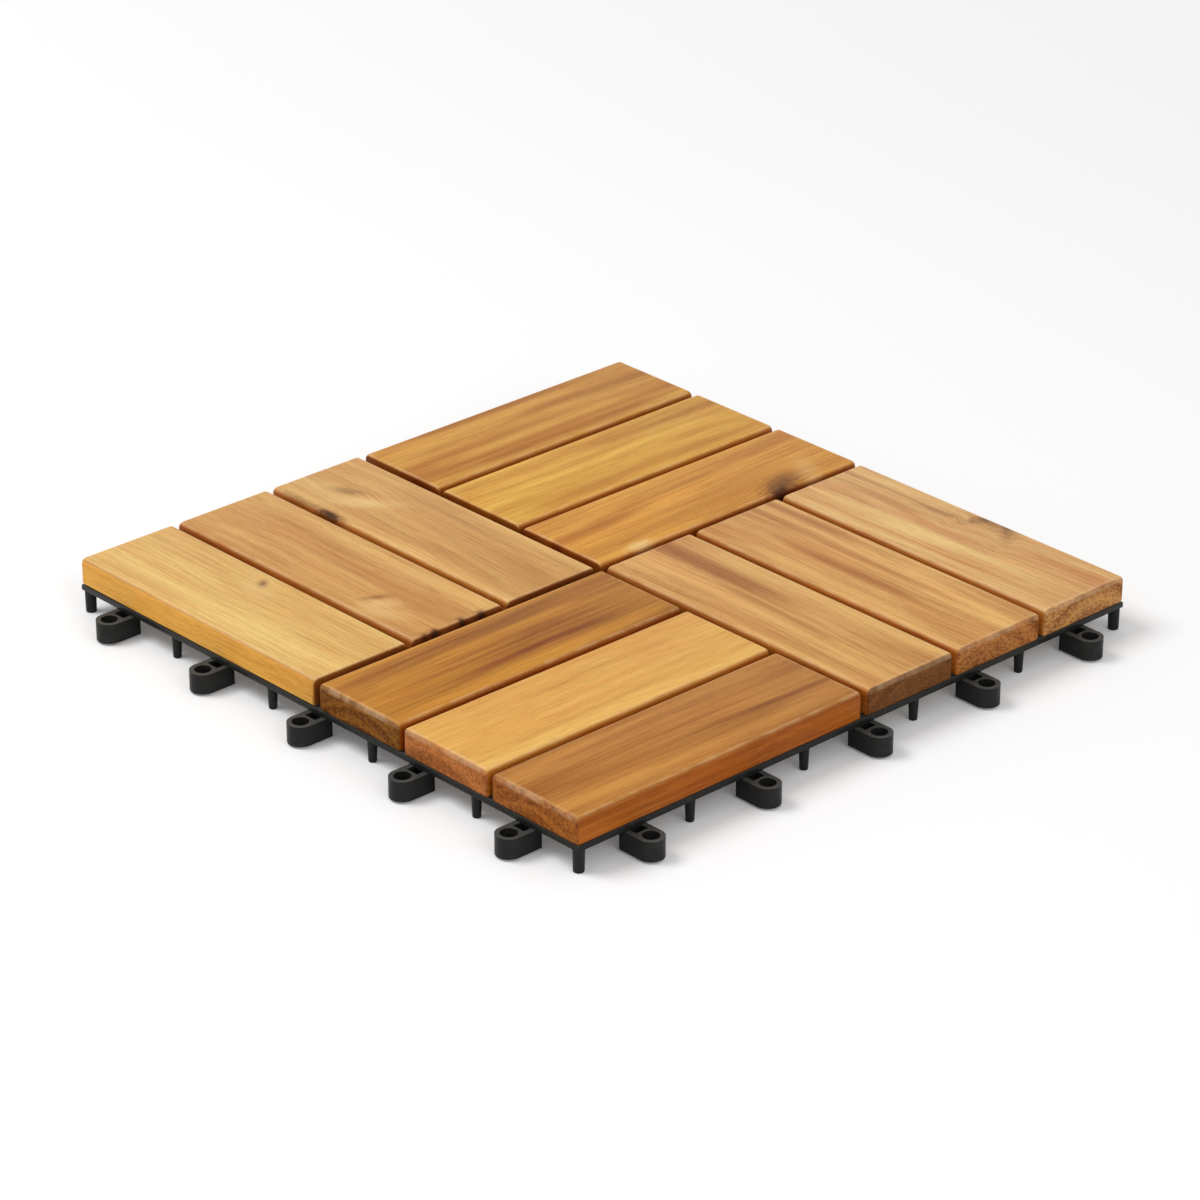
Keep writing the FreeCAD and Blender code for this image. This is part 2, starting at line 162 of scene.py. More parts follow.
def block(name, low, high):
    low, high = Vector(low), Vector(high)
    return begin("cube", name, size=1, location=(low + high) / 2, scale=high - low)


def rod(name, low_radius, high_radius, low, high, sides=24, y=0.0):
    return begin("cone", name, vertices=sides, radius1=low_radius, radius2=high_radius,
                 depth=high - low, location=(0, y, (low + high) / 2))


def select_all():
    bpy.ops.mesh.select_all(action="SELECT")


def pick(kind, test):
    """Select only the faces or edges that pass a test on their vertices' places."""
    piece = bpy.context.object
    bpy.ops.mesh.select_mode(type=kind)
    bpy.ops.mesh.select_all(action="DESELECT")
    form = bmesh.from_edit_mesh(piece.data)
    for part in (form.edges if kind == "EDGE" else form.faces):
        if test([corner.co for corner in part.verts]):
            part.select_set(True)
    bmesh.update_edit_mesh(piece.data)


def all_at(axis, value):
    """A test that every vertex lies on a plane."""
    return lambda spots: all(abs(spot[axis] - value) < FINE for spot in spots)


def ease(height, width, segments):
    """Bevel the edges that lie at one height."""
    pick("EDGE", all_at(Z_AXIS, height))
    bpy.ops.mesh.bevel(offset=width, segments=segments)


def raise_by(height):
    """Extrude what is selected straight up."""
    bpy.ops.mesh.extrude_region_move(TRANSFORM_OT_translate={"value": (0, 0, height)})


def widen(factor):
    bpy.ops.transform.resize(value=(factor, factor, 1))


def close():
    """Leave edit mode with the faces pointing outwards."""
    select_all()
    bpy.ops.mesh.normals_make_consistent(inside=False)
    bpy.ops.object.mode_set(mode="OBJECT")


def apply_step(piece, kind, **settings):
    """Add one modifier and apply it."""
    take(piece)
    step = piece.modifiers.new(kind.lower(), kind)
    for name, value in settings.items():
        setattr(step, name, value)
    bpy.ops.object.modifier_apply(modifier=step.name)


def ease_sharp(piece, width, segments, degrees):
    """Bevel every edge that turns by more than some degrees."""
    apply_step(piece, "BEVEL", width=width, segments=segments, limit_method="ANGLE",
               angle_limit=math.radians(degrees))


def combine(piece, rule, *others):
    """Unite the others with the piece, or cut them out of it."""
    for other in others:
        apply_step(piece, "BOOLEAN", operation=rule, solver="EXACT", object=other)
        bpy.data.objects.remove(other)


def copied(source, name, x=0.0, y=0.0, turn=0):
    """A copy with its own mesh, moved and then turned about the centre by quarter turns."""
    piece = source.copy()
    piece.data = source.data.copy()
    piece.name = name
    bpy.context.collection.objects.link(piece)
    piece.data.transform(Matrix.Rotation(turn * math.pi / 2, 4, "Z") @ Matrix.Translation((x, y, 0)))
    return piece


def joined(name, pieces):
    deselect()
    for piece in pieces:
        piece.select_set(True)
    bpy.context.view_layer.objects.active = pieces[0]
    bpy.ops.object.join()
    pieces[0].name = name
    pieces[0].data.name = name
    return pieces[0]


# Moulded base

def lattice(trim):
    """Diagonal bars, trimmed to a square that ends inside the rim."""
    cell = PITCH / math.sqrt(2)
    cells = 2 * (LINES + 1)
    piece = begin("grid", "lattice", x_subdivisions=cells, y_subdivisions=cells, size=cells * cell,
                  location=(0, 0, PLATE_LOW))
    bpy.ops.mesh.inset(thickness=RIB_WIDTH / 2, use_individual=True)
    bpy.ops.mesh.delete(type="FACE")
    select_all()
    bpy.ops.transform.rotate(value=math.pi / 4, orient_axis="Z", center_override=(0, 0, PLATE_LOW))
    for x, y in ((1, 0), (-1, 0), (0, 1), (0, -1)):
        select_all()
        bpy.ops.mesh.bisect(plane_co=(x * trim, y * trim, 0), plane_no=(x, y, 0), clear_outer=True)
    select_all()
    raise_by(PLATE_DEPTH)
    close()
    return piece


def front_web():
    """The small web at the middle of the front rim, with its inner corners cut off."""
    inner = HALF - RIM_WIDTH
    piece = block("web", (-WEB_WIDTH / 2, -inner, PLATE_LOW), (WEB_WIDTH / 2, WEB_REACH - inner, SLAT_LOW))
    pick("EDGE", lambda spots: all(spot.y > WEB_REACH - inner - FINE for spot in spots)
         and abs(spots[0].x - spots[1].x) < FINE)
    bpy.ops.mesh.bevel(offset=WEB_REACH - WEB_BLUNT, segments=1)
    close()
    return piece


def plate():
    """Rim, diagonal lattice, centre ribs and the front web, with eased edges."""
    trim = HALF - RIM_WIDTH / 2
    bars = lattice(trim)

    rim = begin("plane", "rim", size=2 * HALF, location=(0, 0, PLATE_LOW))
    bpy.ops.mesh.inset(thickness=RIM_WIDTH)
    bpy.ops.mesh.delete(type="FACE")
    select_all()
    raise_by(PLATE_DEPTH)
    close()

    half = CENTRE_RIB_WIDTH / 2
    rib_x = block("centre_rib_x", (-trim, -half, PLATE_LOW), (trim, half, SLAT_LOW))
    close()
    rib_y = block("centre_rib_y", (-half, -trim, PLATE_LOW), (half, trim, SLAT_LOW))
    close()
    combine(rim, "UNION", bars, rib_x, rib_y, front_web())
    ease_sharp(rim, PLATE_EASE, segments=2, degrees=60)
    return rim


def foot(name, tip, root, rounding):
    """A moulded post: rounded tip, slight taper and a small fillet under the plate."""
    neck = PLATE_LOW - FILLET
    piece = rod(name, tip, root, 0, neck)
    ease(0, rounding, segments=4)
    pick("FACE", all_at(Z_AXIS, neck))
    raise_by(FILLET)
    widen(FOOT_FLARE)
    raise_by(ROOT)
    close()
    return piece


def boss(name, drilled):
    """A screw boss that runs up through the plate; a drilled one is open below for the head."""
    piece = rod(name, BOSS_TIP, BOSS_ROOT, BOSS_LIFT, SLAT_LOW - BOSS_GAP)
    ease(BOSS_LIFT, BOSS_WALL, segments=2)
    if drilled:
        pick("FACE", all_at(Z_AXIS, BOSS_LIFT))
        bpy.ops.mesh.inset(thickness=BOSS_WALL)
        raise_by(HEAD_SEAT - BOSS_LIFT)
    close()
    return piece


def peg():
    """A round peg with an eased tip and a small fillet under the plate."""
    piece = rod("peg", PEG_RADIUS, PEG_RADIUS, 0, PEG_NECK, sides=32)
    ease(0, PEG_EASE, segments=3)
    pick("FACE", all_at(Z_AXIS, PEG_NECK))
    raise_by(FILLET)
    widen(PEG_FLARE)
    raise_by(ROOT)
    close()
    return piece


def eyelet():
    """A ring on a slotted neck, pointing to the front, with a thin root under the rim."""
    centre = -EYELET_LINE
    body = block("eyelet", (-EYELET_OUTER, centre, EYELET_FLOOR),
                 (EYELET_OUTER, centre + EYELET_TAIL, EYELET_TOP))
    close()
    ring = rod("ring", EYELET_OUTER, EYELET_OUTER, EYELET_FLOOR, EYELET_TOP, sides=48, y=centre)
    close()
    combine(body, "UNION", ring)
    bore = rod("bore", EYELET_BORE, EYELET_BORE, 0, HALF, sides=48, y=centre)
    close()
    slot = block("slot", (-SLOT_WIDTH / 2, centre + SLOT_FROM, 0),
                 (SLOT_WIDTH / 2, centre + SLOT_TO, HALF))
    close()
    combine(body, "DIFFERENCE", bore, slot)
    ease_sharp(body, EYELET_EASE, segments=3, degrees=50)
    root = block("root", (-EYELET_OUTER, -HALF + FINE, EYELET_TOP - ROOT),
                 (EYELET_OUTER, -HALF + EYELET_ROOT, PLATE_LOW + ROOT))
    close()
    return joined("eyelet", [body, root])


def posts_and_bosses(plain_foot, plain_boss, drilled_boss):
    """Feet between the slats and bosses under their middle lines, on a diagonal grid."""
    parts = []
    half_pitch = PITCH / 2
    for i in range(-LINES, LINES + 1):
        for j in range(-LINES, LINES + 1):
            if (i + j) % 2:
                continue
            if i % 2 == 0:
                parts.append(copied(plain_foot, "foot", i * half_pitch, j * half_pitch))
                continue
            # each slat is screwed down over its first and last boss
            along = abs(i) if i * j > 0 else abs(j)
            kind = drilled_boss if along in (1, LINES) else plain_boss
            parts.append(copied(kind, "boss", i * half_pitch, j * half_pitch))
    return parts


def edge_parts(broad, thin, round_peg, ring):
    """Posts, pegs and eyelets along the rim, and a broad post at each corner."""
    parts = []
    for step in range(-POST_STEPS, POST_STEPS + 1):
        along = step * POST_SPACING
        for turn in (0, 1):
            if step % 2:
                parts.append(copied(broad, "broad_post", along, POST_LINE, turn))
                parts.append(copied(thin, "thin_post", along, -POST_LINE, turn))
            else:
                parts.append(copied(round_peg, "peg", along, POST_LINE, turn))
                parts.append(copied(ring, "eyelet", along, 0, turn))
    for turn in range(4):
        parts.append(copied(broad, "corner_post", POST_LINE, POST_LINE, turn))
    return parts


def moulded_base():
    parts = [plate()]
    inner_kinds = foot("foot", *PLAIN_FOOT), boss("boss", False), boss("drilled_boss", True)
    edge_kinds = foot("broad_post", *BROAD_POST), foot("thin_post", *THIN_POST), peg(), eyelet()
    parts += posts_and_bosses(*inner_kinds)
    parts += edge_parts(*edge_kinds)
    for source in inner_kinds + edge_kinds:
        bpy.data.objects.remove(source)
    return joined("moulded_base", parts)


# Screws and slats

def screw():
    """Flat head with a cross recess, plain shank and point, on the centre line."""
    head = rod("screw", HEAD_RADIUS, HEAD_RADIUS, HEAD_FACE, HEAD_SEAT, sides=28)
    ease(HEAD_FACE, HEAD_EASE, segments=2)
    close()
    for x, y in ((RECESS_HALF_WIDTH, RECESS_REACH), (RECESS_REACH, RECESS_HALF_WIDTH)):
        bar = block("recess", (-x, -y, HEAD_FACE - MM), (x, y, HEAD_FACE + RECESS_DEPTH))
        close()
        combine(head, "DIFFERENCE", bar)
    point = SCREW_TIP - POINT_LENGTH
    shank = rod("shank", SHANK_RADIUS, SHANK_RADIUS, HEAD_SEAT, point, sides=12)
    pick("FACE", all_at(Z_AXIS, point))
    raise_by(POINT_LENGTH)
    widen(POINT_SHARE)
    close()
    return joined("screw", [head, shank])


def screws():
    """Two under every slat, over the first and last boss of its line."""
    source = screw()
    parts = []
    for turn in range(4):
        for line in ROW_LINES:
            for along in (PITCH / 2, LINES * PITCH / 2):
                parts.append(copied(source, "screw", along, line, turn))
    bpy.data.objects.remove(source)
    return joined("wood_screws", parts)


def board():
    """A slat of the first row: rounded upper edges, eased lower edges and lightly eased ends."""
    low, high = row_boxes[0]
    piece = block("board", low, high)

    def long_edge(height):
        return lambda spots: all_at(Z_AXIS, height)(spots) and abs(spots[0].y - spots[1].y) < FINE

    pick("EDGE", long_edge(high.z))
    bpy.ops.mesh.bevel(offset=TOP_ROUND, segments=6)
    pick("EDGE", long_edge(low.z))
    bpy.ops.mesh.bevel(offset=LOW_EASE, segments=1)
    pick("EDGE", lambda spots: all_at(X_AXIS, low.x)(spots) or all_at(X_AXIS, high.x)(spots))
    bpy.ops.mesh.bevel(offset=END_EASE, segments=4)
    close()
    return piece


# Finishes

class Wire:
    """One output of a shader node; sums and products of wires add Math nodes."""

    def __init__(self, finish, socket):
        self.finish = finish
        self.socket = socket

    def maths(self, rule, *values):
        return self.finish.node("Math", {"operation": rule}, dict(enumerate(values)))

    def __add__(self, other):
        return self.maths("ADD", self, other)

    def __sub__(self, other):
        return self.maths("SUBTRACT", self, other)

    def __rsub__(self, other):
        return self.maths("SUBTRACT", other, self)

    def __mul__(self, other):
        return self.maths("MULTIPLY", self, other)

    def __abs__(self):
        return self.maths("ABSOLUTE", self)

    def __neg__(self):
        return self.maths("MULTIPLY", self, -1.0)

    __radd__ = __add__
    __rmul__ = __mul__

    def clip(self):
        """Held between 0 and 1."""
        return self.maths("MAXIMUM", self.maths("MINIMUM", self, 1.0), 0.0)

    def other(self, name):
        """Another output of the same node."""
        return Wire(self.finish, self.socket.node.outputs[name])


class Finish:
    """A material of this tile, built up from nodes."""

    def __init__(self, name):
        self.material = bpy.data.materials.new(name)
        self.material.use_nodes = True
        self.tree = self.material.node_tree

    def node(self, kind, settings, inputs, out=0):
        made = self.tree.nodes.new(f"ShaderNode{kind}")
        for name, value in settings.items():
            setattr(made, name, value)
        self.fill(made, inputs)
        return Wire(self, made.outputs[out])

    def fill(self, made, inputs):
        for name, value in inputs.items():
            if isinstance(value, Wire):
                self.tree.links.new(value.socket, made.inputs[name])
            else:
                made.inputs[name].default_value = value

    def surface(self, **inputs):
        named = {name.replace("_", " "): value for name, value in inputs.items()}
        self.fill(self.tree.nodes["Principled BSDF"], named)
        return self.material

    def place(self):
        """Object coordinates."""
        return self.node("TexCoord", {}, {}, out="Object")

    def mix(self, factor, first, second, rule="MIX"):
        return self.node("Mix", {"data_type": "RGBA", "blend_type": rule},
                         {0: factor, 6: first, 7: second}, out=2)

    def darken(self, factor, tint, second):
        """A colour darkened by a second one, as oil or dirt would; also painted shade in the joints, at the
        shut ends and on the open sides.
        """
        return self.mix(factor, tint, second, rule="MULTIPLY")

    def step(self, value, start, end, low=0.0, high=1.0):
        """A smooth change from low to high while the value goes from start to end."""
        return self.node("MapRange", {"interpolation_type": "SMOOTHSTEP"},
                         {"Value": value, "From Min": start, "From Max": end, "To Min": low, "To Max": high})

    def edge(self, place, limit, start, end):
        """Rises to 1 towards a limit, between two distances short of it."""
        return self.step(place, limit - start, limit - end)

    def noise(self, vector, scale=1.0, detail=3.0, roughness=0.55):
        return self.node("TexNoise", {}, {"Vector": vector, "Scale": scale, "Detail": detail,
                                          "Roughness": roughness})

    def vector(self, x, y, z):
        return self.node("CombineXYZ", {}, {"X": x, "Y": y, "Z": z})

    def length(self, vector):
        return self.node("VectorMath", {"operation": "LENGTH"}, {0: vector}, out="Value")

    def bump(self, height, strength, distance):
        return self.node("Bump", {}, {"Height": height, "Strength": strength, "Distance": distance})


def colour(red, green, blue):
    """A colour as seen on a screen, 0 to 255, made linear."""
    parts = [part / 255 for part in (red, green, blue)]
    return (*[part / 12.92 if part <= 0.04045 else ((part + 0.055) / 1.055) ** 2.4 for part in parts], 1.0)


def grey(level):
    return (level, level, level, 1)


# tones that stain the wood, or lie on it; the joint and shut-end tones are painted shade, the edge tone a
# painted highlight, the open-side tone partly painted shade
BLUSH = colour(255, 234, 226)
STREAK = colour(178, 118, 62)
PORES = colour(176, 132, 88)
PAINTED_JOINT_SHADE = colour(198, 150, 92)
PAINTED_SHUT_END_SHADE = colour(158, 114, 76)
SAWN_DARK = colour(150, 112, 96)
SAWN_LIGHT = colour(226, 186, 160)
PAINTED_EDGE_HIGHLIGHT = colour(248, 210, 164)
KNOT_CLOUD = colour(154, 120, 90)
KNOT_HEART = colour(64, 42, 20)
FLAME = colour(248, 212, 146)
PLAIN_END = colour(255, 255, 255)
OPEN_SIDE = colour(248, 222, 166)

# marks wider than this, in millimetres to each side, turn the grain aside
KNOT_FROM = 2.2

# how far a knot reaches, in its own half-lengths: where the grain parts, its cloud and its heart
PARTING_REACH, CLOUD_REACH, HEART_REACH, KNOT_CORE = 3.4, 2.4, 1.2, 0.2

# the pith that the growth rings run round, in millimetres under the slat and to its side
PITH_DEPTH, PITH_SPREAD, PITH_SIDE = 34.0, 8.0, 12.0

# how fast each layer of the wood changes in a millimetre, along the slat and across it
DRIFT, BANDS, FIBRES, HAIRS, PORE_DOTS = (0.009, 0.02), (0.008, 0.08), (0.010, 0.8), (0.035, 3.4), (0.12, 4.4)
DRIFT_WIDTH = 8.0
LEAN = 0.02

# what each layer adds to the figure of the wood
RING_SHARE, BAND_SHARE, FIBRE_SHARE, HAIR_SHARE = 0.34, 0.32, 0.23, 0.11


class Slat:
    """Places in one slat, in millimetres from its middle, and how far each of its marks is away."""

    def __init__(self, finish, turn, line, marks):
        self.finish = finish
        middle = (-SLAT_MIDDLE / MM, -line / MM, -(SLAT_LOW + SLAT_TOP) / 2 / MM)
        local = finish.node("Mapping", {"vector_type": "POINT"}, {
            "Vector": finish.place(), "Scale": (1 / MM,) * 3, "Rotation": (0, 0, -turn * math.pi / 2),
            "Location": middle})
        self.along = finish.node("SeparateXYZ", {}, {"Vector": local})
        self.across = self.along.other("Y")
        self.up = self.along.other("Z")
        flat = finish.vector(self.along, self.across, 0.0) if marks else None
        self.marks = [(mark, self.distance(flat, *mark[:-1])) for mark in marks]

    def distance(self, flat, along, across, half_length, half_width, slant):
        """How far a knot, chip or flame is away, counted in its own half-lengths."""
        return self.finish.length(self.finish.node("Mapping", {"vector_type": "TEXTURE"}, {
            "Vector": flat, "Location": (along, across, 0), "Rotation": (0, 0, math.radians(slant)),
            "Scale": (half_length, half_width, 1)}))

    def layer(self, pace, across, shift, **settings):
        """Noise drawn out along the slat."""
        return self.finish.noise(self.finish.vector(
            self.along * pace[0], across * pace[1], self.up * pace[1] + shift), **settings)


def bent_grain(finish, slat, seed):
    """Place across the grain, which drifts a little along the slat and parts round a knot."""
    drift = slat.layer(DRIFT, slat.across, seed, detail=1.0) - 0.5
    bent = slat.across + drift * DRIFT_WIDTH + slat.along * (LEAN * math.sin(seed))
    for (_, middle, _, half_width, _, depth), near in slat.marks:
        if half_width > KNOT_FROM and depth > 0:
            parted = finish.step(near, PARTING_REACH, KNOT_CORE, 0.0, 0.7)
            bent = bent - (slat.across - middle) * parted
    return bent


def growth_rings(finish, bent, up, seed, growth):
    """Rings about a pith that lies under the slat."""
    ring = finish.length(finish.vector(bent + PITH_SIDE * math.sin(3 * seed),
                                       up + (PITH_DEPTH + PITH_SPREAD * math.cos(seed)), 0.0))
    return finish.node("TexNoise", {"noise_dimensions": "1D"}, {
        "W": ring * growth + seed, "Scale": 1.0, "Detail": 2.0, "Roughness": 0.55})


def streaked(finish, tint, light, slat, bent, fibre, streaks):
    """Dark and pale bands that follow the grain."""
    for middle, half_width, start, end, depth in streaks:
        centre, reach = (start + end) / 2, (end - start) / 2
        inside = finish.step(abs(bent - middle), half_width * 1.3, half_width * 0.1)
        lasts = finish.step(abs(slat.along - centre), reach, reach * 0.35)
        amount = (inside * lasts * (fibre * 1.1 + 0.45)).clip() * abs(depth)
        tint = finish.darken(amount, tint, STREAK) if depth > 0 else finish.mix(amount, tint, light)
    return tint


def marked(finish, tint, slat, fibre, seed):
    """A knot has a dark heart in a ringed brown cloud; a flame is a soft pale stroke in the grain."""
    if not slat.marks:
        return tint
    wobble = (finish.noise(finish.vector(slat.along * 0.25, slat.across * 0.5, seed)) - 0.5) * 1.2
    for (*_, depth), near in slat.marks:
        near = near + wobble
        cloud = finish.step(near, CLOUD_REACH, KNOT_CORE)
        if depth < 0:
            tint = finish.mix((cloud * (fibre * 1.3 + 0.1)).clip() * -depth, tint, FLAME)
            continue
        halo = finish.noise(finish.vector(near * 2.4, seed, 0.0), detail=1.0)
        tint = finish.darken((cloud * (0.45 + halo)).clip() * depth, tint, KNOT_CLOUD)
        heart = finish.step(near, HEART_REACH, 0.3) * (depth * depth * 0.85)
        tint = finish.mix(heart, tint, KNOT_HEART)
    return tint


def oiled_wood(name, turn, line, seed, dark, light, growth, streaks, marks=(), end_shade=PLAIN_END,
               side_shade=None):
    """Oiled hardwood with its grain along the slat."""
    finish = Finish(name)
    slat = Slat(finish, turn, line, marks)
    along, across, up = slat.along, slat.across, slat.up
    bent = bent_grain(finish, slat, seed)

    # from broad to fine: growth rings, cloudy bands, fibres, hair lines and pores
    rings = growth_rings(finish, bent, up, seed, growth)
    bands = slat.layer(BANDS, bent, 7 * seed, detail=2.0)
    fibre = slat.layer(FIBRES, bent, seed, detail=6.0, roughness=0.75)
    hair = slat.layer(HAIRS, bent, seed, roughness=0.65)
    pore = finish.step(slat.layer(PORE_DOTS, across, -seed, detail=2.0), 0.60, 0.68)
    figure = rings * RING_SHARE + bands * BAND_SHARE + fibre * FIBRE_SHARE + hair * HAIR_SHARE
    tint = finish.mix(finish.step(figure, 0.36, 0.64), dark, light)
    blush = finish.noise(finish.vector(along * 0.02, bent * 0.14, up * 0.1 - 3 * seed), detail=2.0)
    tint = finish.darken(finish.step(blush, 0.42, 0.68) * 0.4, tint, BLUSH)
    tint = streaked(finish, tint, light, slat, bent, fibre, streaks)
    tint = finish.mix(finish.step(hair, 0.62, 0.32) * 0.34 + pore * 0.36, tint,
                      finish.darken(1.0, tint, PORES))

    # sides in the joints and shut ends darkened with painted shade, the open side with its tone and painted
    # shade, and end grain, which takes more oil
    half_width = SLAT_WIDTH / 2 / MM
    half_length = SLAT_HALF_LENGTH / MM
    open_side = finish.edge(across, half_width, 0.9, 0.1) if side_shade else 0.0
    any_side = finish.edge(abs(across), half_width, 1.6, 0.1)
    open_end = finish.edge(along, half_length, 0.8, 0.25)
    shut_end = finish.edge(-along, half_length, 0.8, 0.1)
    # painted shade on the sides that face the joints
    tint = finish.darken((any_side - open_side).clip(), tint, PAINTED_JOINT_SHADE)
    # the open side: its own tone together with painted shade
    if side_shade:
        tint = finish.darken(open_side, tint, side_shade)
    rays = finish.noise(finish.vector(along * 0.1, across * 0.7 + up * 0.5, up * 1.3 + seed),
                        detail=6.0, roughness=0.75)
    sawn = finish.mix(finish.step(rays * 0.75 + rings * 0.25, 0.38, 0.62),
                      finish.darken(1.0, dark, SAWN_DARK), finish.darken(1.0, light, SAWN_LIGHT))
    tint = finish.mix(open_end * 0.9, tint, finish.darken(1.0, sawn, end_shade))
    # painted shade on the shut end, which faces the next group across the gap
    tint = finish.darken(shut_end, tint, PAINTED_SHUT_END_SHADE)

    # eased edges round the top are a little paler: a painted highlight, stronger in patches
    rim_across = finish.edge(abs(across), half_width, 2.4, 1.2)
    rim_along = finish.edge(abs(along), half_length, 2.0, 0.9)
    top_side = finish.step(up, 3.0, 4.5)
    painted_highlight_patches = finish.step(finish.noise(finish.vector(along * 0.12, across * 0.12, seed), detail=2.0),
                         0.36, 0.62)
    rim = (rim_across + rim_along).clip() * top_side * (1.0 - any_side) * (1.0 - shut_end)
    tint = finish.mix(rim * (0.10 + painted_highlight_patches * 0.22), tint, PAINTED_EDGE_HIGHLIGHT)

    tint = marked(finish, tint, slat, fibre, seed)
    rough = 0.50 + pore * 0.15 + open_end * 0.2 - fibre * 0.12
    relief = fibre * 0.3 + hair * 0.3 - pore * 0.6 + rays * open_end * 0.8
    return finish.surface(Base_Color=tint, Roughness=rough, Normal=finish.bump(relief, 0.4, 0.12 * MM),
                          Specular_IOR_Level=0.12)


def black_plastic():
    """Black moulded plastic: semi-gloss, faintly textured, greyer where it is scuffed, and greyer where it
    faces up, which is faint dust together with painted overhead light.
    """
    black, scuffed, dusty_and_lit_grey = (0.018, 0.018, 0.017, 1), (0.040, 0.041, 0.040, 1), (0.082, 0.085, 0.082, 1)
    finish = Finish("black_moulded_plastic")
    place = finish.place()
    flow = finish.noise(place, scale=60.0)
    spark = finish.noise(place, scale=2600.0, detail=2.0)
    scuff = finish.step(finish.noise(place, scale=240.0, detail=5.0, roughness=0.7), 0.52, 0.72)
    upward = finish.node("SeparateXYZ", {}, {"Vector": place.other("Normal")}, out="Z")
    # faces that point up are greyer: faint dust together with painted overhead light
    dust_and_painted_top_light = finish.step(upward, 0.3, 0.9) * (0.65 + scuff * 0.35)
    tint = finish.mix(dust_and_painted_top_light, finish.mix(scuff * 0.5, black, scuffed), dusty_and_lit_grey)
    rough = 0.26 + flow * 0.16 + scuff * 0.16 + dust_and_painted_top_light * 0.14
    return finish.surface(Base_Color=tint, Roughness=rough,
                          Normal=finish.bump(spark * 0.6 + flow * 0.8, 0.15, 0.08 * MM),
                          Specular_IOR_Level=0.18)


def zinc():
    """Plain zinc-plated steel, slightly mottled."""
    dull, bright = (0.42, 0.43, 0.45, 1), (0.66, 0.67, 0.68, 1)
    finish = Finish("zinc_plated_steel")
    mottle = finish.noise(finish.place(), scale=900.0, detail=4.0)
    tint = finish.mix(finish.step(mottle, 0.35, 0.7), dull, bright)
    return finish.surface(Base_Color=tint, Roughness=0.28 + mottle * 0.2, Metallic=1.0)
